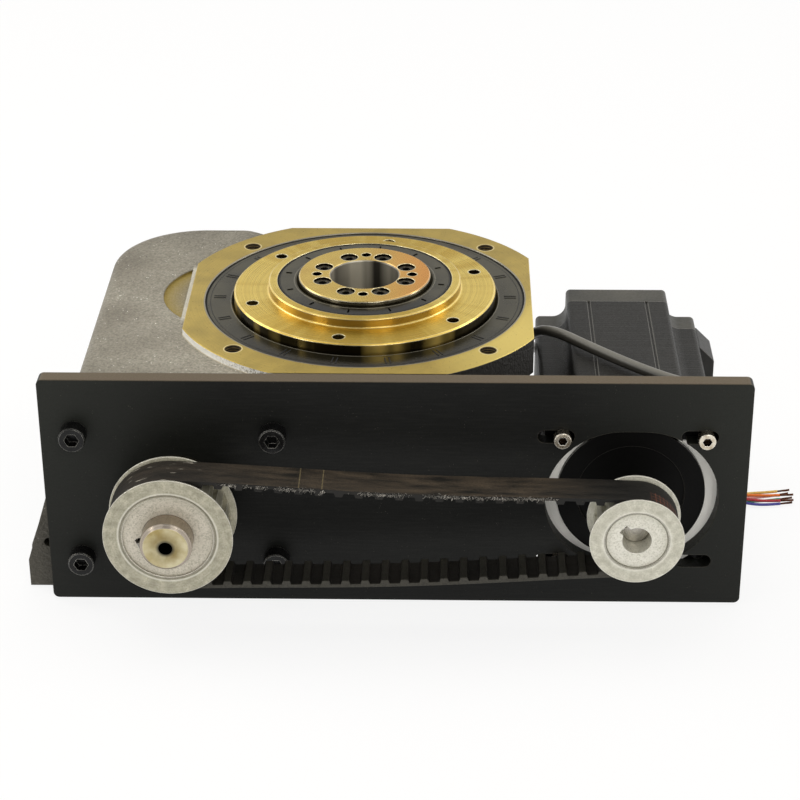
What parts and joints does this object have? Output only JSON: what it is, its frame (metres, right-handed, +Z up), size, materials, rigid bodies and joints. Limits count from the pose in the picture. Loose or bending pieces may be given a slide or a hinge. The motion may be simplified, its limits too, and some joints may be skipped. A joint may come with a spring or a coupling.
{
  "type": "cam indexer",
  "caption": "Rotary cam indexer with a hollow flanged output on a cast housing, driven through a toothed belt by a stepper motor on a slotted black plate.",
  "frame": {"origin": "output axis on the plane of the base", "axes": "+Z up along the output axis, +X along the belt from the cam shaft to the motor, +Y from the pulleys to the back"},
  "size_m": [0.4007, 0.2647, 0.1355],
  "materials": {
    "casting": "as cast, machined and turned on top",
    "black_plate": "satin black",
    "gold_steel": "finely turned, gold toned",
    "steel": "ground",
    "black_steel": "black oxide",
    "pulley_aluminium": "weathered",
    "motor_aluminium": "machined",
    "seal_rubber": "matt",
    "belt_rubber": "worn",
    "motor_black": "satin black laminations",
    "motor_cover_black": "satin",
    "copper": "enamelled wire",
    "outlet_plastic": "moulded",
    "cable_grey": "smooth sheath",
    "lead_colours": "coloured insulation"
  },
  "bodies": {
    "frame": {"housing": "casting", "oil_plugs": "black_steel", "bottom_cover": "steel", "bottom_cover_screws": "black_steel", "column_screws": "black_steel", "centre_column": "steel", "hub_cap": "gold_steel", "hub_screws": "black_steel", "outer_oil_seal": "seal_rubber", "bearing_clamp_ring": "steel", "output_bearing_outer_ring": "steel", "cam_bearing_outer_rings": "steel", "front_bearing_cap": "casting", "shaft_seal": "seal_rubber", "rear_bearing_cap": "casting", "rear_cap_screws": "black_steel", "timing_belt": "belt_rubber", "mounting_plate": "black_plate", "plate_screws": "black_steel", "motor_mount_screws": "steel", "motor_mount_nuts": "steel", "motor_front_flange": "motor_aluminium", "motor_stator": "motor_black", "motor_coils": "copper", "motor_rear_cover": "motor_cover_black", "motor_tie_screws": "black_steel", "motor_bearing_outer_rings": "steel", "cable_outlet": "outlet_plastic", "motor_cable": "cable_grey", "lead_wires": "lead_colours"},
    "output": {"output_flange": "gold_steel", "inner_oil_seal": "seal_rubber", "output_bearing_inner_ring": "steel", "bearing_lock_nut": "steel", "turret": "steel", "turret_screws": "black_steel", "follower_studs": "steel"},
    "cam": {"cam_shaft": "steel", "cam_bearing_inner_rings": "steel", "input_key": "steel", "input_pulley": "pulley_aluminium", "input_pulley_flanges": "pulley_aluminium"},
    "rotor": {"motor_shaft": "steel", "motor_rotor": "steel", "motor_bearing_inner_rings": "steel", "motor_key": "steel", "motor_pulley": "pulley_aluminium", "motor_pulley_flanges": "pulley_aluminium"},
    "output_roller_set": {"output_bearing_rollers": "steel"},
    "cam_roller_set": {"cam_bearing_rollers": "steel"},
    "follower_1": {"follower_roller_1": "steel"},
    "follower_2": {"follower_roller_2": "steel"},
    "follower_3": {"follower_roller_3": "steel"},
    "follower_4": {"follower_roller_4": "steel"},
    "follower_5": {"follower_roller_5": "steel"},
    "follower_6": {"follower_roller_6": "steel"},
    "follower_7": {"follower_roller_7": "steel"},
    "follower_8": {"follower_roller_8": "steel"}
  },
  "joints": [
    {"name": "output_turn", "type": "hinge", "parent": "frame", "child": "output", "pos_m": [0, 0, 0.1], "axis": [0, 0, 1], "continuous": true},
    {"name": "cam_spin", "type": "hinge", "parent": "frame", "child": "cam", "pos_m": [-0.09, 0, 0.0595], "axis": [0, 1, 0], "continuous": true, "deforming": ["timing_belt"]},
    {"name": "motor_spin", "type": "hinge", "parent": "frame", "child": "rotor", "pos_m": [0.13365, -0.1, 0.0595], "axis": [0, 1, 0], "continuous": true, "deforming": ["timing_belt"]},
    {"name": "output_rollers_turn", "type": "hinge", "parent": "frame", "child": "output_roller_set", "pos_m": [0, 0, 0.102], "axis": [0, 0, 1], "continuous": true},
    {"name": "cam_rollers_turn", "type": "hinge", "parent": "frame", "child": "cam_roller_set", "pos_m": [-0.09, 0, 0.0595], "axis": [0, 1, 0], "continuous": true},
    {"name": "follower_1_spin", "type": "hinge", "parent": "output", "child": "follower_1", "pos_m": [0.04841, 0.02005, 0.0595], "axis": [0.9239, 0.3827, 0], "continuous": true},
    {"name": "follower_2_spin", "type": "hinge", "parent": "output", "child": "follower_2", "pos_m": [0.02005, 0.04841, 0.0595], "axis": [0.3827, 0.9239, 0], "continuous": true},
    {"name": "follower_3_spin", "type": "hinge", "parent": "output", "child": "follower_3", "pos_m": [-0.02005, 0.04841, 0.0595], "axis": [-0.3827, 0.9239, 0], "continuous": true},
    {"name": "follower_4_spin", "type": "hinge", "parent": "output", "child": "follower_4", "pos_m": [-0.04841, 0.02005, 0.0595], "axis": [-0.9239, 0.3827, 0], "continuous": true},
    {"name": "follower_5_spin", "type": "hinge", "parent": "output", "child": "follower_5", "pos_m": [-0.04841, -0.02005, 0.0595], "axis": [-0.9239, -0.3827, 0], "continuous": true},
    {"name": "follower_6_spin", "type": "hinge", "parent": "output", "child": "follower_6", "pos_m": [-0.02005, -0.04841, 0.0595], "axis": [-0.3827, -0.9239, 0], "continuous": true},
    {"name": "follower_7_spin", "type": "hinge", "parent": "output", "child": "follower_7", "pos_m": [0.02005, -0.04841, 0.0595], "axis": [0.3827, -0.9239, 0], "continuous": true},
    {"name": "follower_8_spin", "type": "hinge", "parent": "output", "child": "follower_8", "pos_m": [0.04841, -0.02005, 0.0595], "axis": [0.9239, -0.3827, 0], "continuous": true}
  ],
  "couplings": [
    {"joint": "cam_spin", "follows": "output_turn", "ratio": -8},
    {"joint": "motor_spin", "follows": "output_turn", "ratio": -11.692},
    {"joint": "output_rollers_turn", "follows": "output_turn", "ratio": 0.47429},
    {"joint": "cam_rollers_turn", "follows": "output_turn", "ratio": -3.3215}
  ]
}
